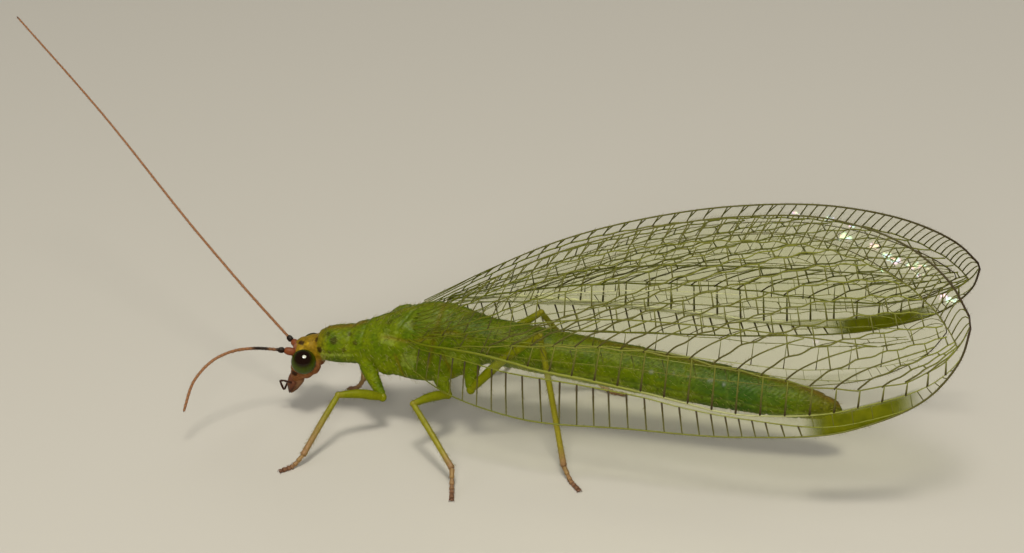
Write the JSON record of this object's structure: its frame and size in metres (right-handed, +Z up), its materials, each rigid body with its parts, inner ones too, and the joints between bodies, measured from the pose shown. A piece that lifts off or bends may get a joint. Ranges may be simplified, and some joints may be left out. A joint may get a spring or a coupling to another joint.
{
  "type": "green lacewing",
  "caption": "Life-size green lacewing standing on its feet, netted wings folded like a roof over a slim green body, long thin feeler raised ahead.",
  "frame": {"origin": "middle of the box of the whole animal, on the floor that its feet stand on", "axes": "+X from the head towards the wing tips, +Y towards the animal's right side, +Z up"},
  "size_m": [0.0282, 0.0096, 0.0091],
  "materials": {
    "head_cuticle": "satin",
    "mouth_cuticle": "satin",
    "eye_surface": "glossy",
    "feeler_cuticle": "satin",
    "thorax_cuticle": "satin",
    "abdomen_cuticle": "satin",
    "leg_cuticle": "satin",
    "wing_membrane": "glossy"
  },
  "bodies": {
    "root": {"head": "head_cuticle", "mouthparts": "mouth_cuticle", "eye_left": "eye_surface", "eye_right": "eye_surface", "antenna_left": "feeler_cuticle", "antenna_right": "feeler_cuticle", "prothorax": "thorax_cuticle", "mesothorax": "thorax_cuticle", "metathorax": "thorax_cuticle", "abdomen": "abdomen_cuticle", "forewing_left": "wing_membrane", "forewing_right": "wing_membrane", "hindwing_left": "wing_membrane", "hindwing_right": "wing_membrane", "leg_fore_left_thigh": "leg_cuticle", "leg_fore_left_shin": "leg_cuticle", "leg_fore_right_thigh": "leg_cuticle", "leg_fore_right_shin": "leg_cuticle", "leg_mid_left_thigh": "leg_cuticle", "leg_mid_left_shin": "leg_cuticle", "leg_mid_right_thigh": "leg_cuticle", "leg_mid_right_shin": "leg_cuticle", "leg_hind_left_thigh": "leg_cuticle", "leg_hind_left_shin": "leg_cuticle", "leg_hind_right_thigh": "leg_cuticle", "leg_hind_right_shin": "leg_cuticle"}
  },
  "joints": []
}
